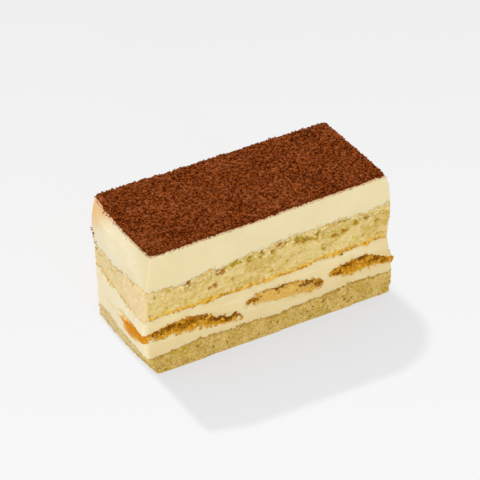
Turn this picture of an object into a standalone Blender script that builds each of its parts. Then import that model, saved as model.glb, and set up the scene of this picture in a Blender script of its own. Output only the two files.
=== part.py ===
"""Tiramisu portion: a straight-cut bar of two sponge sheets, coffee-soaked ladyfingers
and mascarpone cream, dusted with cocoa.

The bar lies along X and is built from the bottom up: base sponge, cream filling with the
ladyfingers in it, upper sponge, thick top cream, cocoa. Its four walls are knife cuts that
every layer shares, and each boundary between two layers is a height over the plan.
Metres, +Z up, origin at the bottom centre of the bar's box.
"""

import math

import bmesh
import bpy
from mathutils import Matrix, Vector

# Driving sizes of the bar
LENGTH = 0.0900  # along X, at the top edge
DEPTH = 0.0412  # along Y at mid-length, the knife cut is at -Y
CREAM_TOP = 0.0471  # height of the cream, where the cocoa lies
COCOA_DEPTH = 0.0009
GAP = 0.0003  # clearance between neighbouring solids

# How the walls and the top stray from a plain box
CORNER_SMEAR = 0.0054  # the knife dragged the left front corner out
SMEAR_FADE = 1.5  # power of the smear's fade towards the back
LEFT_BOW = 0.0010  # the left wall's bulge in plan
LEFT_RIM = 0.0019  # how far the left top edge is drawn in at the back
RIM_FADE = 0.0030  # height over which a drawn-in top edge fades
FACE_SWELL = 0.0005
NARROWING = 0.065  # how much narrower the right end is than the left, as a share
# The end walls' reach past half the length, at heights from the foot to the top
LEFT_WALL = (
    (0.0000, -0.0002),
    (0.0250, 0.0001),
    (0.0300, 0.0003),
    (0.0370, 0.0012),
    (0.0480, 0.0011),
)
RIGHT_WALL = (
    (0.0000, 0.0014),
    (0.0060, 0.0022),
    (0.0125, 0.0018),
    (0.0200, 0.0008),
    (0.0250, -0.0001),
    (0.0300, 0.0014),
    (0.0330, 0.0019),
    (0.0370, 0.0017),
    (0.0430, 0.0017),
    (0.0480, -0.0002),
)
SWELL_SKEW = 0.7  # under 1 puts the widest place below mid-height
SWELL_POINT = 1.5  # over 1 keeps the foot and the top edge straight
PLAN_HEIGHT = CREAM_TOP * 0.4  # where the layers' plan points are taken
CORNER_ROUND = 0.0010
TOP_RISE = 0.0010  # how much higher the top is, per length of its sloping part
TOP_LEVEL = 0.3  # share of the length, from the left, that is level
WAVE_DRIFT = 0.3  # how far the layers' swells drift right per metre towards the back

# Cells of the layers' grids
CELLS_ALONG = 24
CELLS_ACROSS = 10

# Colours: linear base colour, with roughness
BASE_SPONGE = ((0.55, 0.38, 0.10), 0.9)
UPPER_SPONGE = ((0.69, 0.50, 0.18), 0.9)
CREAM = ((0.83, 0.71, 0.42), 0.45)
BISCUIT = ((0.50, 0.24, 0.04), 0.75)
COCOA = ((0.175, 0.038, 0.009), 0.95)


def wave(size, length, crest):
    """One swell of a layer boundary: its height, wavelength along X and a crest's X."""
    return size, length, crest


def boundary(mean, rise_right, rise_front, waves):
    """A height over the plan: a mean, its rise along the bar and to the front, and waves.

    The crests are those on the front face, and they drift to the right towards the back.
    """

    def height(x, y):
        z = mean + rise_right * x / LENGTH - rise_front * y / DEPTH
        for size, length, crest in waves:
            z += size * math.cos(2 * math.pi * (x - crest - WAVE_DRIFT * (y + DEPTH / 2)) / length)
        return z

    return height


def shifted(surface, step):
    """The same boundary, a step higher."""
    return lambda x, y: surface(x, y) + step


def level(height):
    """A flat, level boundary."""
    return lambda x, y: height


base_sponge_top = boundary(
    mean=0.0075,
    rise_right=0.0016,
    rise_front=0.0032,
    waves=(wave(0.0006, 0.060, -0.030), wave(0.0003, 0.020, -0.031)),
)
filling_top = boundary(
    mean=0.0217,
    rise_right=0.0010,
    rise_front=0.0022,
    waves=(wave(0.0004, 0.075, -0.043), wave(0.0002, 0.022, -0.004)),
)
upper_sponge_top = boundary(
    mean=0.0338,
    rise_right=0.0040,
    rise_front=0.0040,
    waves=(wave(0.0006, 0.080, 0.003), wave(0.0003, 0.018, 0.0255)),
)


def cream_top(x, y):
    """The levelled top of the cream, a little higher towards the right end."""
    return CREAM_TOP + TOP_RISE * max(x / LENGTH + 0.5 - TOP_LEVEL, 0.0)


def swell(z):
    """0 at the foot and the top of the bar, 1 at about a third of its height."""
    share = min(max(z / CREAM_TOP, 0.0), 1.0)
    return math.sin(math.pi * share**SWELL_SKEW) ** SWELL_POINT


def reach_at(wall, z):
    """An end wall's reach at a height, with smooth steps between the heights of its list."""
    for (low, reach), (high, further) in zip(wall, wall[1:]):
        if z < high:
            share = max(z - low, 0) / (high - low)
            return reach + (further - reach) * share * share * (3 - 2 * share)
    return wall[-1][1]


def left_wall(y, z):
    to_front = (0.5 - y / DEPTH) ** SMEAR_FADE
    bow = 1 - (2 * y / DEPTH) ** 2
    rim = LEFT_RIM * (0.5 + y / DEPTH) * math.exp(min(z - CREAM_TOP, 0) / RIM_FADE)
    smear = CORNER_SMEAR * to_front * swell(z)
    return -LENGTH / 2 - reach_at(LEFT_WALL, z) - smear - LEFT_BOW * bow + rim


def right_wall(z):
    return LENGTH / 2 + reach_at(RIGHT_WALL, z)


def front_wall(z):
    return -DEPTH / 2 - FACE_SWELL * swell(z)


# The walls' farthest reach along X gives the middle of the bar's box
REACH_Z = CREAM_TOP * 0.5 ** (1 / SWELL_SKEW)
RIGHT_REACH = LENGTH / 2 + max(reach for _, reach in RIGHT_WALL)
X_MIDDLE = (left_wall(-DEPTH / 2, REACH_Z) + RIGHT_REACH) / 2


def in_bar(u, v, z, inset):
    """The plan point at shares u and v of the bar's length and depth, at height z."""
    y = (1 - 2 * v) * (1 - NARROWING * (u - 0.5)) * (front_wall(z) + inset)
    left = left_wall(max(min(y, DEPTH / 2), -DEPTH / 2), z) + inset
    right = right_wall(z) - inset
    return left + u * (right - left), y


def new_collection(name):
    found = bpy.data.collections.new(name)
    bpy.context.scene.collection.children.link(found)
    return found


def new_material(name, look):
    colour, roughness = look
    material = bpy.data.materials.new(name)
    material.use_nodes = True
    shader = material.node_tree.nodes["Principled BSDF"]
    shader.inputs["Base Color"].default_value = (*colour, 1.0)
    shader.inputs["Roughness"].default_value = roughness
    shader.inputs["Metallic"].default_value = 0.0
    material.diffuse_color = (*colour, 1.0)
    return material


def new_object(name, bm, collection, material=None):
    mesh = bpy.data.meshes.new(name)
    bm.to_mesh(mesh)
    bm.free()
    obj = bpy.data.objects.new(name, mesh)
    collection.objects.link(obj)
    if material:
        mesh.materials.append(material)
    return obj


def cut_along(bm, axis, cells):
    """Cuts every edge that runs along an axis into equal cells."""
    along = [
        edge
        for edge in bm.edges
        if abs((edge.verts[0].co - edge.verts[1].co)[axis]) > 0.5
        and (edge.verts[0].co - edge.verts[1].co).length > 0.99
    ]
    bmesh.ops.subdivide_edges(bm, edges=along, cuts=cells - 1, use_grid_fill=True)


def layer(name, bottom, top, collection, material=None, cells_up=3, inset=0.0):
    """A sheet of the bar between two boundaries, cut off by the bar's four walls."""
    bm = bmesh.new()
    bmesh.ops.create_cube(bm, size=1.0, matrix=Matrix.Translation((0.5, 0.5, 0.5)))
    for axis, cells in enumerate((CELLS_ALONG, CELLS_ACROSS, cells_up)):
        cut_along(bm, axis, cells)
    corners = []
    for vert in bm.verts:
        u, v, w = vert.co
        x, y = in_bar(u, v, PLAN_HEIGHT, inset)
        low, high = bottom(x, y), top(x, y)
        z = low + w * (high - low)
        x, y = in_bar(u, v, z, inset)
        vert.co = Vector((x - X_MIDDLE, y, z))
        if min(u, 1 - u) < 0.001 and min(v, 1 - v) < 0.001:
            corners.append(vert)
    weight = bm.edges.layers.float.new("bevel_weight_edge")
    for edge in bm.edges:
        if all(vert in corners for vert in edge.verts):
            edge[weight] = 1.0
    obj = new_object(name, bm, collection, material)
    bevel = obj.modifiers.new("rounded_corners", "BEVEL")
    bevel.limit_method = "WEIGHT"
    bevel.width = CORNER_ROUND
    bevel.segments = 3
    return obj


# The ladyfingers lie across the bar, side by side, each cut off by the walls
FINGER_RUN = 0.064  # length along Y, well past both faces
FINGER_SIDES = 32
FINGER_CELLS = 6  # along its length
FINGER_BELLY = 0.0012  # the flat underside's bulge below the widest line
FINGER_TURN = math.radians(12.0)  # they lie a little askew, backs to the right
FINGER_TAPER = 0.02  # how much their width comes and goes along them
TAPER_SHIFT = 0.6  # radians
# Powers that square the round section: 1 leaves a half ellipse
SQUARE_SIDES = 0.8
SQUARE_CROWN = 0.85
SQUARE_BELLY = 0.5


def ladyfinger(
    name, middle, width, height, tilt, dip, arch, dents, collection, grow=0.0, material=None
):
    """A squashed finger of sponge biscuit: flat below, domed above, uneven on top.

    middle is where its axis crosses the front face, tilt drops its right side, dip lowers
    its back, and arch lets both its sides hang. A dent is (place across, reach, depth), as
    shares of half its width.
    """
    bm = bmesh.new()
    bmesh.ops.create_cone(
        bm,
        cap_ends=True,
        segments=FINGER_SIDES,
        radius1=1.0,
        radius2=1.0,
        depth=1.0,
        matrix=Matrix.Rotation(math.radians(-90), 4, "X"),
    )
    cut_along(bm, 1, FINGER_CELLS)
    for vert in bm.verts:
        across, along, up = vert.co
        taper = 1 - FINGER_TAPER * math.cos(2 * math.pi * along + TAPER_SHIFT)
        side = math.copysign(abs(across) ** SQUARE_SIDES, across)
        keep = 1 - sum(
            depth * math.exp(-(((side - place) / reach) ** 2)) for place, reach, depth in dents
        )
        if up > 0:
            rise = (height - FINGER_BELLY) * keep * taper * up**SQUARE_CROWN
        else:
            rise = -FINGER_BELLY * abs(up) ** SQUARE_BELLY
        outward = math.copysign(grow * abs(up) ** SQUARE_BELLY, up)
        vert.co = Vector(
            (
                side * (width / 2 * taper + grow),
                along * FINGER_RUN,
                rise + outward - arch * side**2,
            )
        )
    x, z = middle
    front = Vector((x - X_MIDDLE, -DEPTH / 2, z))
    swing = (
        Matrix.Rotation(-FINGER_TURN, 4, "Z")
        @ Matrix.Rotation(-dip, 4, "X")
        @ Matrix.Rotation(tilt, 4, "Y")
    )
    bm.transform(Matrix.Translation(front) @ swing @ Matrix.Translation((0, DEPTH / 2, 0)))
    return new_object(name, bm, collection, material)


FINGERS = {
    "ladyfinger_left": {
        "middle": (-0.0322, 0.0149),
        "width": 0.0392,
        "height": 0.0052,
        "tilt": math.radians(5.2),
        "dip": math.radians(7.0),
        "arch": 0.0014,
        "dents": ((-0.75, 0.20, 0.35), (0.58, 0.14, 0.36)),
    },
    "ladyfinger_middle": {
        "middle": (0.0038, 0.0146),
        "width": 0.0300,
        "height": 0.0055,
        "tilt": math.radians(3.4),
        "dip": math.radians(1.0),
        "arch": 0.0,
        "dents": ((0.75, 0.30, 0.15),),
    },
    "ladyfinger_right": {
        "middle": (0.0338, 0.0147),
        "width": 0.0248,
        "height": 0.0059,
        "tilt": math.radians(3.0),
        "dip": math.radians(1.0),
        "arch": 0.0,
        "dents": ((-0.55, 0.25, 0.12),),
    },
}


def boolean(obj, operation, other):
    modifier = obj.modifiers.new(f"{operation.lower()}_{other.name}", "BOOLEAN")
    modifier.operation = operation
    modifier.solver = "EXACT"
    modifier.object = other


def as_helper(obj):
    obj.hide_render = True
    obj.display_type = "WIRE"
    return obj


def build():
    for obj in list(bpy.data.objects):
        bpy.data.objects.remove(obj)
    parts = new_collection("tiramisu_portion")
    helpers = new_collection("cutters")
    base_sponge = new_material("base_sponge", BASE_SPONGE)
    upper_sponge = new_material("upper_sponge", UPPER_SPONGE)
    cream = new_material("cream", CREAM)
    biscuit = new_material("soaked_biscuit", BISCUIT)
    cocoa = new_material("cocoa", COCOA)

    layer("sponge_base", level(0.0), shifted(base_sponge_top, -GAP), parts, base_sponge)
    filling = layer("cream_filling", base_sponge_top, shifted(filling_top, -GAP), parts, cream, 4)
    layer("sponge_upper", filling_top, shifted(upper_sponge_top, -GAP), parts, upper_sponge)
    layer("cream_top", upper_sponge_top, shifted(cream_top, -GAP), parts, cream)
    layer(
        "cocoa_dusting",
        cream_top,
        shifted(cream_top, COCOA_DEPTH),
        parts,
        cocoa,
        cells_up=1,
        inset=CORNER_ROUND / 4,
    )

    whole_bar = as_helper(layer("whole_bar", level(-0.001), cream_top, helpers))
    for name, sizes in FINGERS.items():
        finger = ladyfinger(name, collection=parts, material=biscuit, **sizes)
        boolean(finger, "INTERSECT", whole_bar)
        pocket = ladyfinger(f"pocket_{name}", collection=helpers, grow=GAP, **sizes)
        boolean(filling, "DIFFERENCE", as_helper(pocket))


build()
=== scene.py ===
"""A bar of tiramisu, freshly cut: two sponge sheets, soaked ladyfingers, cream and cocoa."""

import math

import bpy
import numpy as np
from mathutils import Matrix, Vector, noise
from mathutils.bvhtree import BVHTree


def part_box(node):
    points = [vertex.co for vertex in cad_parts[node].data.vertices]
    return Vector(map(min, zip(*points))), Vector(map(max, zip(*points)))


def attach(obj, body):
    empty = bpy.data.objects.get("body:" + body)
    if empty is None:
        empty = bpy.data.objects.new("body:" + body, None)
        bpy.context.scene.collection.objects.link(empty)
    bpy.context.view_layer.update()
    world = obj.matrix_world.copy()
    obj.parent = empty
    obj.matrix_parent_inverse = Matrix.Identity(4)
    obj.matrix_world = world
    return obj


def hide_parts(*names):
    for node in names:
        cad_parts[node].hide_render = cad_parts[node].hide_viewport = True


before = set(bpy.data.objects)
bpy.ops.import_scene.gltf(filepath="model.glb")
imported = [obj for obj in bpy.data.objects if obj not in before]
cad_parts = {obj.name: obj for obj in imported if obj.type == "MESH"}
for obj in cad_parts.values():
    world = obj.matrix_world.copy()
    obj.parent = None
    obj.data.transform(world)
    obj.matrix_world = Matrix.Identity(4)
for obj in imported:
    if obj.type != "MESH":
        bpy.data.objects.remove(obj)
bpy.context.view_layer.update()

# ---------------------------------------------------------------------------------------
# Camera: a long lens, 33 degrees above the table, that looks at the left front corner.
# It leans by a degree and a half.
camera_aim = Vector((0.0066, 0.01042, 0.01861))
camera_back = Vector((-0.4046, -0.7311, 0.5493)).normalized()
camera_distance = 1.0954
camera_lean = math.radians(-1.45)
level_right = Vector((-camera_back.y, camera_back.x, 0)).normalized()
level_up = camera_back.cross(level_right)
camera_right = math.cos(camera_lean) * level_right + math.sin(camera_lean) * level_up
camera_up = camera_back.cross(camera_right)
bpy.ops.object.camera_add(location=camera_aim + camera_distance * camera_back)
camera = bpy.context.object
camera.name = "camera"
camera.rotation_euler = Matrix((camera_right, camera_up, camera_back)).transposed().to_euler()
camera.data.lens = 240
camera.data.sensor_width = 36
camera.data.clip_end = 10
bpy.context.scene.camera = camera

# ---------------------------------------------------------------------------------------
# Light: a bright white tent all round, a soft lamp high behind the bar that throws its
# shadow to the front, and a broad fill from the camera's left.
world = bpy.data.worlds.new("white_tent")
world.use_nodes = True
tent = world.node_tree.nodes["Background"]
tent.inputs["Color"].default_value = (1.0, 1.0, 1.0, 1.0)
tent.inputs["Strength"].default_value = 0.85
bpy.context.scene.world = world
bpy.context.scene.view_settings.view_transform = "Standard"


def lamp(name, place, size, power):
    """A round soft white lamp that points at the bar."""
    bpy.ops.object.light_add(type="AREA", location=place)
    light = bpy.context.object
    light.name = name
    light.rotation_euler = Vector(place).to_track_quat("Z", "Y").to_euler()
    light.data.shape = "DISK"
    light.data.size = size
    light.data.energy = power


lamp("key_behind", (0.0, 0.64, 0.76), size=0.10, power=6.4)
lamp("fill_left", (-1.00, -1.45, 0.90), size=1.4, power=8.0)

# ---------------------------------------------------------------------------------------
# Table: a white light table, a touch greyer towards the back. It glows, and this glow is
# painted light: it fills the shade so that no dark halo lies round the bar. The table
# reflects the lamps only inside a drawn area. The bar's shadow shows only there, and the
# area's outline becomes the shadow's outline.


class Wire:
    """A shader socket that can stand in a formula."""

    def __init__(self, paint, socket):
        self.paint = paint
        self.socket = socket

    def __add__(self, other):
        return self.paint.maths("ADD", self, other)

    def __sub__(self, other):
        return self.paint.maths("SUBTRACT", self, other)

    def __rsub__(self, other):
        return self.paint.maths("SUBTRACT", other, self)

    def __mul__(self, other):
        return self.paint.maths("MULTIPLY", self, other)

    __radd__ = __add__


class Paint:
    """A material in the making: its nodes are added one by one and wired to the shader."""

    def __init__(self, name, roughness=0.9, gloss=0.2):
        self.material = bpy.data.materials.new(name)
        self.material.use_nodes = True
        self.tree = self.material.node_tree
        self.shader = self.tree.nodes["Principled BSDF"]
        self.shader.inputs["Roughness"].default_value = roughness
        self.shader.inputs["Specular IOR Level"].default_value = gloss

    def node(self, kind, settings=None, sockets=None, output=0):
        """Adds a node, sets it up, and returns one of its outputs."""
        made = self.tree.nodes.new(kind)
        for key, value in (settings or {}).items():
            setattr(made, key, value)
        for key, value in (sockets or {}).items():
            if isinstance(value, Wire):
                self.tree.links.new(value.socket, made.inputs[key])
            else:
                made.inputs[key].default_value = value
        return Wire(self, made.outputs[output])

    def maths(self, operation, *terms):
        """One sum on wires and plain numbers."""
        return self.node("ShaderNodeMath", {"operation": operation}, dict(enumerate(terms)))

    def millimetres(self, stretch=(1.0, 1.0, 1.0)):
        """The place on the object in millimetres, squeezed or stretched along the axes."""
        place = self.node("ShaderNodeTexCoord", output="Object")
        scale = tuple(1000 * share for share in stretch)
        settings = {"operation": "MULTIPLY"}
        return self.node("ShaderNodeVectorMath", settings, {0: place, 1: scale})

    def along(self, axis):
        """X, Y or Z of the place on the object, in millimetres."""
        return self.node("ShaderNodeSeparateXYZ", {}, {0: self.millimetres()}, output=axis)

    def stamped(self, name):
        """A value that is stored on the mesh's corners."""
        return self.node("ShaderNodeAttribute", {"attribute_name": name}, output="Fac")

    def grain(self, size, detail=3.0, stretch=(1.0, 1.0, 1.0), rough=0.55):
        """Cloudy noise from 0 to 1 whose lumps are about size millimetres across."""
        sockets = {
            "Vector": self.millimetres(stretch),
            "Scale": 1.0 / size,
            "Detail": detail,
            "Roughness": rough,
        }
        return self.node("ShaderNodeTexNoise", {}, sockets)

    def step(self, value, low, high):
        """0 below low, 1 above high, and a smooth rise between them."""
        sockets = {"Value": value, "From Min": low, "From Max": high}
        return self.node("ShaderNodeMapRange", {"interpolation_type": "SMOOTHSTEP"}, sockets)

    def mix(self, share, first, second):
        """The first colour, turning into the second as share goes from 0 to 1."""
        sockets = {0: share, 6: first, 7: second}
        return self.node("ShaderNodeMix", {"data_type": "RGBA"}, sockets, output=2)

    def bump(self, height, distance):
        """Fine relief whose height of 1 stands for distance in metres."""
        sockets = {"Height": height, "Distance": distance, "Strength": 1.0}
        self.wire("Normal", self.node("ShaderNodeBump", {}, sockets))

    def wire(self, socket, value):
        """Joins a value to a socket of the shader."""
        self.tree.links.new(value.socket, self.shader.inputs[socket])

    def soften(self, weight, reach):
        """Light that goes in and comes out again within reach, in metres."""
        self.shader.inputs["Subsurface Weight"].default_value = weight
        self.shader.inputs["Subsurface Radius"].default_value = (1.0, 0.7, 0.35)
        self.shader.inputs["Subsurface Scale"].default_value = reach


def tint(red, green, blue):
    """A shader colour from the values that a screen shows, 0 to 255."""
    return (*(((value / 255 + 0.055) / 1.055) ** 2.4 for value in (red, green, blue)), 1.0)


bpy.ops.object.select_all(action="DESELECT")
bpy.ops.mesh.primitive_plane_add(size=6.0)
table = bpy.context.object
table.name = "table"
white = Paint("table_white", roughness=1.0, gloss=0.0)
east, north = white.along("X"), white.along("Y")
# How bright the table is to look, and how much of the light would reach it without the bar
wanted = 0.9156 - (east * 0.4842 + north * 0.875) * 0.00024
falling = 1.4335 - east * 0.00013 + north * 0.000923
# The area that shows the shadow ends in soft lines at the left and the front, and in an
# arc at the right; outside it, the glow paints the shadow away
arc_x, arc_y = 21.0, -33.5
past_right = white.maths("MAXIMUM", east - arc_x, 0.0)
past_front = white.maths("MAXIMUM", arc_y - north, 0.0)
from_middle = white.maths("SQRT", past_right * past_right + past_front * past_front)
past_left = white.maths("MAXIMUM", -30.0 - east, 0.0)
shadow_area = white.step(north - past_left * 0.3, -65.0, -59.0)
shadow_area = white.maths("MINIMUM", shadow_area, white.step(from_middle, 32.0, 25.5))
shadow_area = shadow_area * white.step(east, -46.5, -43.0)
reflected = [shadow_area * share for share in (0.262, 0.25, 0.225)]
glow = [wanted - share * falling for share in reflected]
white.wire("Base Color", white.node("ShaderNodeCombineXYZ", {}, dict(enumerate(reflected))))
white.wire("Emission Color", white.node("ShaderNodeCombineXYZ", {}, dict(enumerate(glow))))
white.shader.inputs["Emission Strength"].default_value = 1.0
table.data.materials.append(white.material)

# ---------------------------------------------------------------------------------------
# Base sponge: a thin sheet of golden sponge, moist from the coffee, cut through with a
# knife. The cut shows rough crumb with open pores and a browner skin along its top.
OVERLAP = 0.0011  # how far a layer's copy reaches into its neighbours
END_X = 46.2  # how far the left end lies from the middle, in mm
END_SLANT = 0.1125  # its slant, as X over Y: 6 degrees
CREAM_EDGE = 0.0461  # from here up, the layers' borders keep still
noise.seed_set(1795414104)  # without a seed of its own, noise_vector starts from the clock


def tree_of(*nodes):
    """The surfaces of some of the layers' solids, for rays and distances."""
    corners, faces = [], []
    for node in nodes:
        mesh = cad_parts[node].data
        faces += [[len(corners) + corner for corner in face.vertices] for face in mesh.polygons]
        corners += [vert.co.copy() for vert in mesh.vertices]
    return BVHTree.FromPolygons(corners, faces)


def inner_faces(node):
    """A mask of the faces of a layer's solid that lie against a neighbour."""
    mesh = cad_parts[node].data
    others = tree_of(*(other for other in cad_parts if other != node))
    widest_gap = 0.0006
    found = np.zeros(len(mesh.polygons), bool)
    for face in mesh.polygons:
        _, normal, _, gap = others.find_nearest(face.center)
        found[face.index] = gap < widest_gap and normal.dot(face.normal) < -0.5
    return found


def skin_of_bar():
    """What shows of all the layers' solids, as one surface."""
    corners, faces = [], []
    for node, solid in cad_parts.items():
        for face, inner in zip(solid.data.polygons, inner_faces(node)):
            if not inner:
                faces.append([len(corners) + corner for corner in face.vertices])
        corners += [vert.co.copy() for vert in solid.data.vertices]
    return BVHTree.FromPolygons(corners, faces)


bar_skin = skin_of_bar()


def alone(piece):
    """Selects one piece and nothing else."""
    bpy.ops.object.select_all(action="DESELECT")
    piece.select_set(True)
    bpy.context.view_layer.objects.active = piece


def settle(piece, kind, **settings):
    """Gives a piece one modifier and applies it."""
    alone(piece)
    modifier = piece.modifiers.new(kind.lower(), kind)
    for key, value in settings.items():
        setattr(modifier, key, value)
    bpy.ops.object.modifier_apply(modifier=modifier.name)


def in_edit(piece, faces, operator, **settings):
    """Runs an edit-mode operator on some faces of a piece, given as a mask."""
    alone(piece)
    bpy.context.tool_settings.mesh_select_mode = (False, False, True)
    mesh = piece.data
    mesh.vertices.foreach_set("select", np.zeros(len(mesh.vertices), bool))
    mesh.edges.foreach_set("select", np.zeros(len(mesh.edges), bool))
    mesh.polygons.foreach_set("select", faces)
    bpy.ops.object.mode_set(mode="EDIT")
    operator(**settings)
    bpy.ops.object.mode_set(mode="OBJECT")


def places(piece):
    """The corners of a mesh, one row each."""
    co = np.empty(3 * len(piece.data.vertices), np.float32)
    piece.data.vertices.foreach_get("co", co)
    return co.reshape(-1, 3).astype(float)


def layer_copy(node, name, down=OVERLAP, up=OVERLAP):
    """A copy of a layer's solid that reaches down and up a little into its neighbours."""
    piece = bpy.data.objects.new(name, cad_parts[node].data.copy())
    piece.data.name = name
    bpy.context.collection.objects.link(piece)
    piece.data.materials.clear()
    push = np.zeros((len(piece.data.vertices), 3))
    weight = np.zeros(len(push))
    for face, inner in zip(piece.data.polygons, inner_faces(node)):
        if inner:
            reach = up if face.normal.z > 0 else down
            push[list(face.vertices)] += reach * face.area * np.array(face.normal)
            weight[list(face.vertices)] += face.area
    co = places(piece)
    for corner in np.unique(np.round(co, 6), axis=0):
        same = np.abs(co - corner).max(axis=1) < 0.000002
        co[same] += push[same].sum(axis=0) / max(weight[same].sum(), 1e-12)
    piece.data.vertices.foreach_set("co", co.astype(np.float32).ravel())
    everything = np.ones(len(piece.data.polygons), bool)
    in_edit(piece, everything, bpy.ops.mesh.remove_doubles, threshold=0.00001)
    return piece


def exposure(piece):
    """1 for the corners that show on the outside, 0 where a neighbour or the table covers."""
    lift = 0.00035
    shown = np.ones(len(piece.data.vertices))
    for vert in piece.data.vertices:
        outside = vert.co + lift * vert.normal
        nearest, normal = bar_skin.find_nearest(outside)[:2]
        below = vert.co.z < 0.0004 and vert.normal.z < -0.6
        if below or (outside - nearest).dot(normal) < 0:
            shown[vert.index] = 0.0
    return shown


def spread(piece, values, times):
    """Evens out values on a mesh's corners with their neighbours'."""
    mesh = piece.data
    ends = np.empty(2 * len(mesh.edges), int)
    mesh.edges.foreach_get("vertices", ends)
    first, second = ends.reshape(-1, 2).T
    count = np.bincount(ends, minlength=len(values)) + 1
    for _ in range(times):
        total = values + np.bincount(first, values[second], len(values))
        total += np.bincount(second, values[first], len(values))
        values = total / count
    return values


def face_means(piece, values):
    """A value for each face from those of its corners."""
    return np.array([values[list(face.vertices)].mean() for face in piece.data.polygons])


def hold(piece, name, values):
    """Keeps values from 0 to 1 as a vertex group, which modifiers read."""
    found = piece.vertex_groups.get(name) or piece.vertex_groups.new(name=name)
    for index, value in enumerate(values):
        found.add([index], float(value), "REPLACE")


def held(piece, name):
    """The values of a vertex group."""
    index = piece.vertex_groups[name].index
    found = np.zeros(len(piece.data.vertices))
    for vert in piece.data.vertices:
        for group in vert.groups:
            if group.group == index:
                found[vert.index] = group.weight
    return found


def stamp(piece, name, values):
    """Keeps values on the mesh's corners for the material."""
    found = piece.data.attributes.new(name, "FLOAT", "POINT")
    found.data.foreach_set("value", np.asarray(values, np.float32))


def fine_skin(piece, node, voxel, border=0.00028):
    """Remeshes a piece evenly, thins what is covered, halves the grid of what shows, and
    lets the skin sink by border where it runs over the layer's end into a neighbour."""
    settle(piece, "REMESH", mode="VOXEL", voxel_size=voxel)
    shown = spread(piece, exposure(piece), 3)
    covered = face_means(piece, shown) < 0.001
    in_edit(piece, covered, bpy.ops.mesh.decimate, ratio=0.06)
    shown = spread(piece, exposure(piece), 1)
    open_faces = face_means(piece, shown) > 0.3
    in_edit(piece, open_faces, bpy.ops.mesh.subdivide, number_cuts=1, smoothness=0.0)
    shown = spread(piece, exposure(piece), 3)
    hold(piece, "shown", shown * np.clip((places(piece)[:, 2] + 0.0002) / 0.0012, 0.15, 1))
    own = tree_of(node)
    beyond = np.array([own.find_nearest(Vector(co))[3] for co in places(piece)]) * shown
    hold(piece, "beyond", np.clip(beyond / OVERLAP, 0, 1))
    settle(piece, "DISPLACE", strength=-border, mid_level=0.0, vertex_group="beyond")
    piece.data.shade_smooth()


def roughen(piece, kind, size, strength, mid=0.5, group="shown", direction="NORMAL", **grain):
    """Pushes the skin in and out by a solid pattern of one grain size, in metres."""
    pattern = bpy.data.textures.new(f"{piece.name}_{kind.lower()}", kind)
    pattern.noise_scale = size
    for key, value in grain.items():
        setattr(pattern, key, value)
    settle(
        piece,
        "DISPLACE",
        texture=pattern,
        texture_coords="LOCAL",
        strength=strength,
        mid_level=mid,
        vertex_group=group,
        direction=direction,
    )


def depths(piece, node):
    """How far below its layer's top and above its underside each corner is, in mm.

    It is measured a little inside the walls. A corner beyond the layer gets 0.
    """
    own = tree_of(node)
    below, above = [], []
    for x, y, z in places(piece):
        start = Vector((x * 0.97, y * 0.94, z))
        up = own.ray_cast(start, Vector((0, 0, 1)))[3]
        down = own.ray_cast(start, Vector((0, 0, -1)))[3]
        below.append(1000 * up if up is not None else 0.0)
        above.append(1000 * down if down is not None else 0.0)
    return np.array(below), np.array(above)


def patchy(piece, size, stretch=(1.0, 1.0, 1.0), seed=0.0):
    """Cloudy noise on the mesh's corners, about -1 to 1, with lumps of size metres."""
    scale = Vector((share / size for share in stretch))
    shift = Vector((seed, -seed, 0.37 * seed))
    return np.array([noise.noise(Vector(co) * scale + shift) for co in places(piece)])


def pores(piece, size, share, seed):
    """How deep in a pore each corner lies, 0 to 1: holes of many sizes, spread by chance."""
    found = np.zeros(len(piece.data.vertices))
    for index, co in enumerate(places(piece)):
        spot = Vector(co) / size + Vector((seed, 0, 0))
        spot += 0.5 * noise.noise_vector(1.3 * spot)
        distances, centres = noise.voronoi(spot)
        luck = 0.5 + 0.5 * noise.cell(9.7 * centres[0])
        if luck < share:
            reach = 0.22 + 0.3 * luck / share
            found[index] = min(max((reach - distances[0]) / 0.16, 0.0), 1.0)
    return found


def wander(piece, near_torn):
    """Makes the layers' borders wander: one solid pattern moves all layers up and down.

    near_torn goes up to 1 at the torn border under the top cream, which wanders the most.
    """
    height = places(piece)[:, 2]
    share = np.clip(height / 0.003, 0, 1) * np.clip((CREAM_EDGE - height) / 0.003, 0, 1)
    hold(piece, "loose", share * (0.35 + 0.65 * near_torn))
    roughen(piece, "CLOUDS", 0.0016, 0.0021, group="loose", direction="Z", noise_depth=2)
    roughen(piece, "CLOUDS", 0.0060, 0.0012, group="loose", direction="Z", noise_depth=1)


def crumb(piece, coarse, fine, seed, large_share=0.10, small_share=0.22):
    """The relief of cut sponge: a torn wavy face, open pores and loose crumbs."""
    large = pores(piece, 0.0021, large_share, seed)
    small = pores(piece, 0.0010, small_share, seed + 5)
    hold(piece, "pores", held(piece, "shown") * np.maximum(large, 0.6 * small))
    before = places(piece)
    roughen(piece, "CLOUDS", 0.0040, 0.00040 * coarse, noise_depth=2)
    roughen(piece, "CLOUDS", 0.0012, 0.00070 * coarse, noise_depth=2)
    roughen(piece, "CLOUDS", 0.0006, 0.00055 * fine, noise_depth=2)
    settle(piece, "DISPLACE", strength=-0.0007 * coarse, mid_level=0.0, vertex_group="pores")
    moved = places(piece) - before
    outwards = np.sign((moved * before * (1, 1, 0)).sum(1))
    stamp(piece, "relief", 1000 * outwards * np.linalg.norm(moved, axis=1))


def from_end(paint):
    """Millimetres inwards from the left end, for a material."""
    return paint.along("X") - paint.along("Y") * END_SLANT + END_X


def off_end(piece):
    """Millimetres inwards from the left end, for each corner of a mesh."""
    x, y, _ = 1000 * places(piece).T
    return x - END_SLANT * y + END_X


base = layer_copy("sponge_base", "base_sponge")
fine_skin(base, "sponge_base", 0.00042)
stamp(base, "below_top", depths(base, "sponge_base")[0])
wander(base, near_torn=0.3)
crumb(base, coarse=1.0, fine=1.0, seed=0.0)

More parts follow.
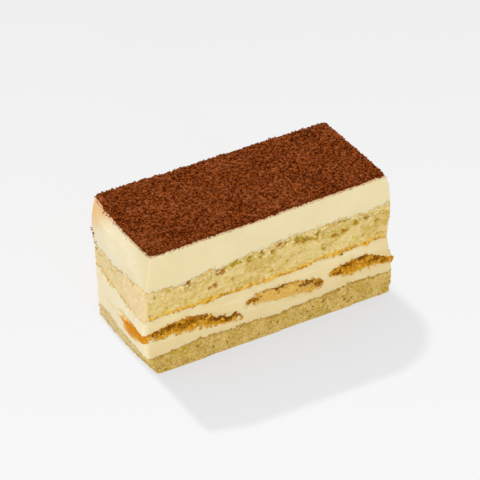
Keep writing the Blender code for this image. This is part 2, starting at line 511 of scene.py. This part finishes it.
golden = Paint("golden_crumb", roughness=0.9, gloss=0.05)
golden.soften(0.2, 0.0010)
patches = golden.step(golden.grain(5.0), 0.35, 0.65)
colour = golden.mix(patches, tint(198, 164, 76), tint(220, 187, 108))
crumbs = golden.step(golden.grain(0.9, 4.0), 0.46, 0.62)
colour = golden.mix(crumbs * 0.55, colour, tint(234, 206, 136))
olive = golden.step(golden.grain(1.6, 4.0, (0.7, 0.7, 1.3)), 0.55, 0.64)
colour = golden.mix(olive * 0.7, colour, tint(184, 156, 24))
# The pores are painted a darker olive gold: partly the moist crumb's own colour, partly painted
# shade in the pores
pore_colour_and_shade = golden.step(golden.stamped("relief"), -0.08, -0.45)
colour = golden.mix(pore_colour_and_shade * 0.85, colour, tint(162, 126, 8))
skin = golden.step(golden.stamped("below_top") + golden.grain(1.4, 4.0) * 2.8, 2.9, 1.7)
skin = skin * (0.35 + golden.step(golden.grain(9.0, 2.0), 0.38, 0.56) * 0.65)
colour = golden.mix(skin * 0.8, colour, tint(168, 120, 22))
left_end = golden.step(from_end(golden), 3.2, 1.6)
colour = golden.mix(left_end * 0.8, colour, tint(230, 208, 158))
golden.wire("Base Color", colour)
golden.bump(golden.grain(0.45, 4.0), 0.0003)
base.data.materials.append(golden.material)
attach(base, "root")
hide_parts("sponge_base")

# ---------------------------------------------------------------------------------------
# Filling: soft mascarpone cream between the sponge sheets, pressed round the biscuits. The
# knife has dragged it smooth, and coffee has seeped into it round the biscuits.
filling = layer_copy("cream_filling", "filling")
fine_skin(filling, "cream_filling", 0.00046)
biscuit_tree = tree_of("ladyfinger_left", "ladyfinger_middle", "ladyfinger_right")
near = [1000 * biscuit_tree.find_nearest(Vector(co))[3] for co in places(filling)]
stamp(filling, "from_biscuit", near)
# The coffee stain on the left end: its middle's Y and Z and its half sizes, in mm
stain_y, stain_z = -10.5, 12.535
stain_wide, stain_high, stain_deep = 8.0, 2.9, 2.5
stain_slope = 0.27  # it sinks towards the back
_, y, z = 1000 * places(filling).T
stain = ((y - stain_y) / stain_wide) ** 2
stain += ((z - stain_z + stain_slope * (y - stain_y)) / stain_high) ** 2
stain += np.clip(off_end(filling) / stain_deep, 0, 9) ** 2
stamp(filling, "stain", np.exp(-stain))
wander(filling, near_torn=0.3)
roughen(filling, "CLOUDS", 0.0060, 0.00050, noise_depth=1)
roughen(filling, "CLOUDS", 0.0014, 0.00012, noise_depth=2)

soft = Paint("filling_cream", roughness=0.55, gloss=0.25)
soft.soften(0.35, 0.0020)
cloudy = soft.step(soft.grain(9.0), 0.35, 0.65)
colour = soft.mix(cloudy, tint(230, 209, 154), tint(235, 216, 164))
streaks = soft.step(soft.grain(2.2, 3.0, (0.18, 0.4, 1.0)), 0.50, 0.68)
colour = soft.mix(streaks * 0.5, colour, tint(241, 226, 184))
coffee = soft.step(soft.stamped("from_biscuit") + soft.grain(1.6) * 1.8, 2.3, 0.8)
low_down = soft.step(soft.along("Z"), 14.5, 11.5)
colour = soft.mix(coffee * (0.18 + low_down * 0.25), colour, tint(218, 178, 96))
colour = soft.mix(low_down * 0.3, colour, tint(220, 192, 134))
# The left end is painted paler: painted light, standing in for the stronger light on that face
left_end = soft.step(from_end(soft), 3.0, 1.0)
colour = soft.mix(left_end * 0.75, colour, tint(245, 231, 192))
wedge = soft.step(soft.stamped("stain") + soft.grain(2.0, 4.0) * 0.6, 0.5, 0.9)
colour = soft.mix(wedge, colour, tint(230, 162, 44))
deep = soft.step(soft.stamped("stain") + soft.grain(1.5, 4.0) * 0.6, 0.9, 1.2)
colour = soft.mix(deep * 0.9, colour, tint(216, 128, 6))
soft.wire("Base Color", colour)
soft.bump(soft.grain(0.9, 3.0, (0.5, 0.7, 1.0)), 0.00012)
filling.data.materials.append(soft.material)
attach(filling, "root")
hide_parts("cream_filling")

# ---------------------------------------------------------------------------------------
# Ladyfingers: sponge biscuits soaked in coffee, cut across. Each has orange crumb with
# large holes inside, a dark brown crust over its top, and a paler foot.
seeping = Paint("soaked_crumb", roughness=0.8, gloss=0.06)
seeping.soften(0.15, 0.0010)
soaked = seeping.step(seeping.grain(3.2, 3.0), 0.40, 0.62)
colour = seeping.mix(soaked, tint(196, 132, 12), tint(213, 154, 36))
lumps = seeping.step(seeping.grain(1.2, 5.0), 0.48, 0.64)
colour = seeping.mix(lumps * 0.85, colour, tint(235, 190, 78))
pale_heart = seeping.step(seeping.along("X"), -11.0, -2.0)
pale_heart = pale_heart * seeping.step(seeping.along("X"), 22.0, 14.0)
colour = seeping.mix(pale_heart * 0.5, colour, tint(240, 206, 124))
ragged = seeping.grain(1.4, 5.0) * 2.6
crust = seeping.step(seeping.stamped("under_crust") + ragged, 2.4, 1.4)
colour = seeping.mix(crust * 0.75, colour, tint(190, 118, 6))
# The holes are painted a darker brown: partly the soaked crumb's own colour, partly painted
# shade in the holes
holes = seeping.step(seeping.stamped("relief"), -0.10, -0.55)
colour = seeping.mix(holes * 0.85, colour, tint(150, 84, 0))
dark = seeping.step(seeping.stamped("dark") + seeping.grain(1.1, 5.0) * 2.8 - 1.4, 0.30, 0.66)
dark_share = seeping.step(seeping.grain(1.9, 4.0), 0.42, 0.6)
dark_hue = seeping.mix(dark_share, tint(110, 60, 0), tint(164, 106, 12))
colour = seeping.mix(dark * 0.9, colour, dark_hue)
creamy = seeping.step(seeping.stamped("creamed") + seeping.grain(0.9, 4.0) * 0.5, 0.62, 0.82)
colour = seeping.mix(creamy * 0.9, colour, tint(234, 212, 156))
foot = seeping.step(seeping.stamped("over_foot") + seeping.grain(1.5) * 0.8, 1.2, 0.6)
colour = seeping.mix(foot * 0.6, colour, tint(230, 170, 62))
glazed = seeping.step(from_end(seeping), 2.2, 1.0)
strong = seeping.step(seeping.along("Y") + seeping.grain(3.0) * 4.0, 0.0, -6.0)
end_colour = seeping.mix(strong, tint(232, 178, 84), tint(222, 138, 10))
colour = seeping.mix(glazed * 0.7, colour, end_colour)
covered = seeping.along("Z") + seeping.along("Y") * stain_slope
covered = covered + seeping.grain(1.6, 4.0) * 1.6
covered = seeping.step(covered, 14.0, 15.6)
covered = seeping.maths("MAXIMUM", covered, seeping.step(seeping.along("Y"), -4.5, -1.0))
colour = seeping.mix(covered * glazed, colour, tint(233, 216, 173))
seeping.wire("Base Color", colour)
seeping.bump(seeping.grain(0.4, 4.0), 0.0002)


def patches_on(piece, patches):
    """1 in the middle of patches that are given as X, Z and half sizes, in mm."""
    x, _, z = 1000 * places(piece).T
    found = np.zeros(len(x))
    for middle_x, middle_z, half_wide, half_high in patches:
        away = ((x - middle_x) / half_wide) ** 2 + ((z - middle_z) / half_high) ** 2
        found = np.maximum(found, np.exp(-away))
    return found


def biscuit(node, name, dark_patches, creamed, tongue_reach=0.0):
    """One biscuit, with its dark patches and those that cream has been smeared over.

    tongue_reach is how far its lower right corner sticks out of the bar.
    """
    piece = layer_copy(node, name)
    fine_skin(piece, node, 0.00034)
    if tongue_reach > 0:
        x, y, z = 1000 * places(piece).T
        tongue = np.clip((x - 46.0) / 1.2, 0, 1) * np.clip((15.6 - z) / 1.6, 0, 1)
        hold(piece, "tongue", tongue * np.clip((-12.0 - y) / 4.0, 0, 1))
        out = {"strength": tongue_reach, "direction": "X", "vertex_group": "tongue"}
        settle(piece, "DISPLACE", mid_level=0.0, **out)
    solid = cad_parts[node].data
    upper, lower = [], []
    for face, inner in zip(solid.polygons, inner_faces(node)):
        if inner:
            (upper if face.normal.z > 0.1 else lower).append(list(face.vertices))
    corners = [vert.co for vert in solid.vertices]
    for skin, stamped in ((upper, "under_crust"), (lower, "over_foot")):
        tree = BVHTree.FromPolygons(corners, skin)
        stamp(piece, stamped, [1000 * tree.find_nearest(Vector(co))[3] for co in places(piece)])
    stamp(piece, "dark", patches_on(piece, dark_patches))
    # Cream also runs down over the crown of the biscuit at the bar's right front edge
    x, y, z = 1000 * places(piece).T
    slipped = np.clip((z + 0.49 * x - 38.0) / 0.7, 0, 1) * np.clip((x - 38.5) / 2.0, 0, 1)
    smeared = np.maximum(patches_on(piece, creamed), slipped) * np.clip((-16.0 - y) / 2.5, 0, 1)
    stamp(piece, "creamed", smeared)
    calm = np.clip(off_end(piece) - 0.9, 0.45, 1) * (1 - 0.7 * smeared)
    wander(piece, near_torn=0.3)
    hold(piece, "shown", held(piece, "shown") * calm)
    crumb(piece, coarse=1.0, fine=1.0, seed=11.0, large_share=0.22, small_share=0.3)
    piece.data.materials.append(seeping.material)
    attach(piece, "root")
    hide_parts(node)


biscuit(
    "ladyfinger_left",
    "biscuit_left",
    dark_patches=(
        (-39, 17.2, 4.4, 1.4),
        (-30, 17.1, 6.5, 1.5),
        (-21, 15.0, 3.6, 1.4),
        (-15.4, 13.6, 3.2, 1.7),
        (-11.6, 12.4, 2.2, 1.7),
    ),
    creamed=((-19.8, 16.4, 2.8, 1.5), (-15.9, 14.4, 1.3, 0.9), (-12.4, 11.6, 1.1, 0.8)),
)
biscuit(
    "ladyfinger_middle",
    "biscuit_middle",
    dark_patches=(
        (-6.5, 16.4, 2.4, 1.0),
        (5, 18.4, 3.2, 0.7),
        (14.8, 16.1, 3.2, 1.3),
        (19.1, 14.1, 2.5, 1.5),
    ),
    creamed=(),
)
biscuit(
    "ladyfinger_right",
    "biscuit_right",
    dark_patches=(
        (27, 15.4, 2.2, 1.0),
        (31, 17.8, 3.2, 1.0),
        (36, 18.4, 3.2, 1.1),
        (42, 16.0, 2.8, 1.5),
        (45.5, 13.9, 2.2, 1.2),
    ),
    creamed=(),
    tongue_reach=0.0011,
)

# ---------------------------------------------------------------------------------------
# Upper sponge: a thicker, paler sheet. Its crumb is torn along the top, where the cream
# was spread, its baked underside shows as a thin brown line, and cream is smeared over it
# at the left front corner.
upper = layer_copy("sponge_upper", "upper_sponge")
fine_skin(upper, "sponge_upper", 0.00044)
below_top, above_foot = depths(upper, "sponge_upper")
x, y, _ = 1000 * places(upper).T
# Tears in the front face: X, depth below the sheet's top, and half sizes, in mm
front_tears = (
    (-30.5, 1.2, 1.6, 1.2),
    (-18, 1.6, 1.8, 1.4),
    (-12, 1.2, 3.0, 0.9),
    (-21.5, 6.6, 1.6, 1.0),
    (-7, 2.6, 0.9, 1.0),
    (-2.5, 2.4, 1.0, 1.4),
    (1.5, 3.0, 1.2, 1.4),
    (5.5, 1.2, 1.8, 1.2),
    (11.5, 2.0, 1.4, 1.6),
    (15, 3.0, 2.0, 1.2),
    (18.8, 3.2, 1.4, 1.0),
    (21.5, 8.6, 0.9, 1.2),
    (28, 5.4, 3.0, 0.8),
    (29.5, 0.8, 2.6, 0.6),
    (34.5, 3.0, 1.6, 1.0),
    (38.5, 2.4, 1.0, 0.8),
    (42, 4.8, 1.4, 0.9),
)
torn = np.zeros(len(x))
on_front = y < 1000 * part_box("sponge_upper")[0].y + 2.5
for tear_x, deep, half_wide, half_high in front_tears:
    away = ((x - tear_x) / half_wide) ** 2 + ((below_top - deep) / half_high) ** 2
    torn = np.maximum(torn, np.exp(-0.65 * away) * on_front)
band = np.exp(-(((below_top - 1.6) / 1.8) ** 2))
scattered = np.clip(2.4 * patchy(upper, 0.0050, (1, 1, 1.8), 7.0) - 0.1, 0, 1)
torn = np.maximum(torn, scattered * band * ~on_front)
torn *= np.clip(0.8 + 2.0 * patchy(upper, 0.0013, seed=3.0), 0, 1)
from_left = off_end(upper)
smear = np.clip((3.2 - from_left) / 2.0, 0, 1) * np.clip((3.0 - y) / 8.0, 0, 1)
smear *= np.clip(0.8 + 1.2 * patchy(upper, 0.0035, (1, 1, 0.5), 5.0), 0, 1)
torn *= 1 - np.clip((4.0 - from_left) / 3.0, 0, 1)
stamp(upper, "below_top", below_top)
stamp(upper, "above_foot", above_foot)
stamp(upper, "torn", torn)
stamp(upper, "smear", smear)
hold(upper, "tear_depth", torn * held(upper, "shown"))
hold(upper, "smear_height", smear * held(upper, "shown"))
hold(upper, "shown", held(upper, "shown") * (1 - 0.7 * smear))
wander(upper, near_torn=np.exp(-((below_top / 2.5) ** 2)))
settle(upper, "DISPLACE", strength=-0.0010, mid_level=0.0, vertex_group="tear_depth")
roughen(upper, "CLOUDS", 0.0016, 0.0010, mid=0.3, group="smear_height", noise_depth=2)
crumb(upper, coarse=0.8, fine=0.65, seed=3.0, large_share=0.12, small_share=0.26)

pale = Paint("pale_crumb", roughness=0.9, gloss=0.05)
pale.soften(0.25, 0.0012)
patches = pale.step(pale.grain(3.6, 2.0, (0.6, 0.6, 1.3)), 0.36, 0.64)
colour = pale.mix(patches, tint(208, 177, 94), tint(228, 203, 134))
near_top = pale.step(pale.stamped("below_top"), 4.5, 2.0)
crumbs = pale.step(pale.grain(1.1, 4.0), 0.50, 0.62)
colour = pale.mix(crumbs * (0.4 + near_top * 0.5), colour, tint(246, 225, 172))
olive = pale.step(pale.grain(1.9, 4.0), 0.58, 0.66)
colour = pale.mix(olive * 0.7, colour, tint(206, 178, 48))
# The pores are painted a darker olive gold: partly the moist crumb's own colour, partly painted
# shade in the pores
pore_colour_and_shade = pale.step(pale.stamped("relief"), -0.08, -0.45)
colour = pale.mix(pore_colour_and_shade * 0.8, colour, tint(200, 160, 36))
left_end = pale.step(from_end(pale), 3.0, 1.0)
colour = pale.mix(left_end * 0.65, colour, tint(243, 224, 178))
baked = pale.step(pale.stamped("above_foot") + pale.grain(1.1, 5.0) * 4.4, 4.4, 2.8)
baked_hue = pale.step(pale.grain(1.3, 3.0), 0.44, 0.58)
baked_colour = pale.mix(baked_hue, tint(240, 192, 70), tint(204, 134, 0))
colour = pale.mix(baked * (0.9 - left_end * 0.4), colour, baked_colour)
# The tears are painted a darker olive and brown: partly the torn crumb's own colour, partly
# painted shade in the tears
pit_hue = pale.step(pale.grain(6.0, 1.0), 0.42, 0.58)
pit_colour_and_shade = pale.mix(pit_hue, tint(172, 112, 10), tint(186, 160, 0))
colour = pale.mix(pale.step(pale.stamped("torn"), 0.15, 0.6) * 0.9, colour, pit_colour_and_shade)
colour = pale.mix(pale.stamped("smear") * 0.85, colour, tint(238, 212, 164))
pale.wire("Base Color", colour)
pale.bump(pale.grain(0.45, 4.0), 0.0002)
upper.data.materials.append(pale.material)
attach(upper, "root")
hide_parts("sponge_upper")

# ---------------------------------------------------------------------------------------
# Top cream: a thick, firm layer of mascarpone cream with straight cut sides, satin smooth
# from the wet knife, and tinted by the cocoa along its upper edge.
top_cream = layer_copy("cream_top", "top_cream", up=0.0004)
fine_skin(top_cream, "cream_top", 0.00046)
below_top, above_foot = depths(top_cream, "cream_top")
stamp(top_cream, "below_top", below_top)
wander(top_cream, near_torn=np.exp(-((above_foot / 2.5) ** 2)))
roughen(top_cream, "CLOUDS", 0.0090, 0.00045, noise_depth=1)
roughen(top_cream, "CLOUDS", 0.0022, 0.00010, noise_depth=2)

satin = Paint("satin_cream", roughness=0.5, gloss=0.3)
satin.soften(0.4, 0.0022)
cloudy = satin.step(satin.grain(14.0, 2.0), 0.3, 0.7)
colour = satin.mix(cloudy, tint(231, 215, 168), tint(235, 220, 175))
# The left end is painted paler: painted light, standing in for the stronger light on that face.
# Brighter cloudy patches lie over it
left_end = satin.step(from_end(satin), 3.4, 1.2)
colour = satin.mix(left_end * 0.65, colour, tint(239, 224, 186))
bright = satin.step(satin.grain(12.0, 2.0), 0.40, 0.62) * left_end
colour = satin.mix(bright * 0.35, colour, tint(245, 233, 202))
corner = satin.along("Y") * 0.8 + satin.along("Z") + satin.grain(5.0) * 6.0
corner = satin.step(corner, 51.0, 60.0) * left_end
colour = satin.mix(corner * 0.95, colour, tint(226, 182, 120))
dusty = satin.step(satin.stamped("below_top") + satin.grain(0.8, 4.0) * 2.2, 1.75, 0.95)
colour = satin.mix(dusty * 0.75, colour, tint(206, 150, 104))
satin.wire("Base Color", colour)
satin.bump(satin.grain(1.2, 3.0, (0.6, 0.6, 1.0)), 0.00010)
top_cream.data.materials.append(satin.material)
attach(top_cream, "root")
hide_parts("cream_top")

# ---------------------------------------------------------------------------------------
# Cocoa: unsweetened powder sifted over the cream. It lies in soft clumps of about a
# millimetre, with a ragged edge.
cocoa = layer_copy("cocoa_dusting", "cocoa", down=0.0006)
fine_skin(cocoa, "cocoa_dusting", 0.00046)
before = places(cocoa)
roughen(cocoa, "CLOUDS", 0.0100, 0.0003, noise_depth=1)
roughen(cocoa, "VORONOI", 0.0012, 0.0006, contrast=1.3)
roughen(cocoa, "CLOUDS", 0.0006, 0.0011, noise_depth=2)
moved = places(cocoa) - before
stamp(cocoa, "relief", 1000 * moved[:, 2])

powder = Paint("cocoa_powder", roughness=1.0, gloss=0.0)
tone = powder.step(powder.grain(0.7, 5.0), 0.40, 0.60)
colour = powder.mix(tone, tint(88, 31, 0), tint(136, 66, 22))
# Painted shade darkens the dips between the clumps, and painted highlights lighten the clumps'
# tops
low = powder.step(powder.stamped("relief"), 0.02, -0.30)
colour = powder.mix(low * 0.9, colour, tint(52, 14, 0))
high = powder.step(powder.stamped("relief"), 0.05, 0.35)
colour = powder.mix(high * 0.6, colour, tint(160, 93, 55))
powder.wire("Base Color", colour)
powder.bump(powder.grain(0.4, 4.0), 0.0003)
cocoa.data.materials.append(powder.material)
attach(cocoa, "root")
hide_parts("cocoa_dusting")

# ---------------------------------------------------------------------------------------
# Cocoa grains: loose clumps of the powder, a fifth to four fifths of a millimetre across.
# Most lie on top, and some have fallen over the edge and stick to the cream.
chance = np.random.default_rng(5)


def normals_of(piece):
    """The directions in which a piece's corners face, one row each."""
    normals = np.empty(3 * len(piece.data.vertices), np.float32)
    piece.data.vertices.foreach_get("normal", normals)
    return normals.reshape(-1, 3).astype(float)


def on_skin(piece, wanted, count):
    """Places and normals of some of a piece's corners, picked by chance among the wanted."""
    picked = chance.choice(np.flatnonzero(wanted), count, replace=False)
    return places(piece)[picked], normals_of(piece)[picked]


def bits(name, spots, small, large):
    """Many lumps joined into one piece, each turned, squashed and sized by chance.

    Their half sizes lie between small and large, in metres, and most are small.
    """
    bpy.ops.object.select_all(action="DESELECT")
    bpy.ops.mesh.primitive_ico_sphere_add(subdivisions=1, radius=1.0)
    lump = bpy.context.object
    shape = places(lump)
    facets = np.array([list(face.vertices) for face in lump.data.polygons])
    corners, faces, tones = [], [], []
    for spot, normal in zip(*spots):
        size = small + (large - small) * chance.random() ** 2
        turn = np.linalg.qr(chance.normal(size=(3, 3)))[0]
        turn *= np.sign(np.linalg.det(turn))
        squash = chance.uniform(0.6, 1.0, 3)
        bumps = chance.uniform(0.75, 1.15, (len(shape), 1))
        faces.append(facets + len(shape) * len(corners))
        corners.append((shape * bumps * squash) @ turn.T * size + spot + 0.4 * size * normal)
        tones += [chance.random()] * len(shape)
    lump.data.clear_geometry()
    lump.data.from_pydata(np.concatenate(corners).tolist(), [], np.concatenate(faces).tolist())
    lump.name = name
    lump.data.name = name
    stamp(lump, "tone", tones)
    lump.data.shade_smooth()
    return lump


facing_up = normals_of(cocoa)[:, 2] > 0.3
on_top = on_skin(cocoa, facing_up & (held(cocoa, "shown") > 0.5), 7000)
edge = below_top < 0.5 * np.abs(chance.normal(size=len(below_top)))
edge &= (held(top_cream, "shown") > 0.9) & (places(top_cream)[:, 2] > 0.045)
on_edge = on_skin(top_cream, edge, 260)
# A few clumps have slid down the back left edge: their Y and Z, in mm
for y, z in ((20.4, 35.4), (19.8, 33.4), (20.2, 29.4), (19.0, 27.9), (20.5, 31.6), (18.6, 29.6)):
    centre, outwards = bar_skin.find_nearest(Vector((-0.048, y / 1000, z / 1000)))[:2]
    clump = np.array(centre) + chance.normal(size=(9, 3)) * (0.00008, 0.00030, 0.00040)
    slid = clump, np.tile(outwards, (9, 1))
    on_edge = tuple(np.concatenate(pair) for pair in zip(on_edge, slid))
spots = tuple(np.concatenate(pair) for pair in zip(on_top, on_edge))
grains = bits("cocoa_grains", spots, 0.00010, 0.00036)
loose = Paint("cocoa_grain", roughness=1.0, gloss=0.0)
loose.wire("Base Color", loose.mix(loose.stamped("tone"), tint(74, 23, 0), tint(160, 93, 54)))
loose.bump(loose.grain(0.3, 3.0), 0.0002)
grains.data.materials.append(loose.material)
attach(grains, "root")

# ---------------------------------------------------------------------------------------
# Sponge crumbs: bits that the knife has torn loose. They stick to the cut faces, along the
# layers' borders and the foot, and are as pale or as brown as the sponge they come from.


def stored(piece, name):
    """Values that were stamped on a piece."""
    values = np.empty(len(piece.data.vertices), np.float32)
    piece.data.attributes[name].data.foreach_get("value", values)
    return values


upper_top, upper_foot = stored(upper, "below_top"), stored(upper, "above_foot")
anywhere = np.ones(len(upper_top), bool)
# Where the crumbs come from: a piece, which of its corners, how many, and how brown, 0 to 1
sources = (
    (upper, anywhere, 700, 0.15),
    (upper, (upper_top < 3.5) & (upper_top > 0.0), 1500, 0.05),
    (upper, upper_foot < 0.9, 700, 0.75),
    (upper, places(upper)[:, 0] > 0.0450, 400, 0.7),
    (base, stored(base, "below_top") > 1.0, 1100, 0.35),
    (base, stored(base, "below_top") < 0.8, 300, 0.7),
    (base, places(base)[:, 2] < 0.0012, 500, 0.5),
)
found = []
for piece, wanted, count, hue in sources:
    found.append((*on_skin(piece, wanted & (held(piece, "shown") > 0.5), count), hue))
for name, count in (("biscuit_left", 220), ("biscuit_middle", 200), ("biscuit_right", 160)):
    piece = bpy.data.objects[name]
    found.append((*on_skin(piece, held(piece, "shown") > 0.9, count), 0.85))
spots = tuple(np.concatenate([part[side] for part in found]) for side in (0, 1))
crumbs = bits("sponge_crumbs", spots, 0.00012, 0.00034)
hues = np.concatenate([np.full(len(part[0]), part[2]) for part in found])
stamp(crumbs, "hue", np.repeat(hues, len(crumbs.data.vertices) // len(hues)))
torn_off = Paint("torn_crumb", roughness=0.9, gloss=0.05)
torn_off.soften(0.25, 0.0008)
tone = torn_off.stamped("tone")
pale_bit = torn_off.mix(tone, tint(212, 178, 96), tint(250, 230, 184))
brown_bit = torn_off.mix(tone, tint(170, 104, 0), tint(242, 196, 100))
hue = torn_off.step(torn_off.stamped("hue"), 0.1, 0.8)
torn_off.wire("Base Color", torn_off.mix(hue, pale_bit, brown_bit))
torn_off.bump(torn_off.grain(0.3, 3.0), 0.0001)
crumbs.data.materials.append(torn_off.material)
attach(crumbs, "root")
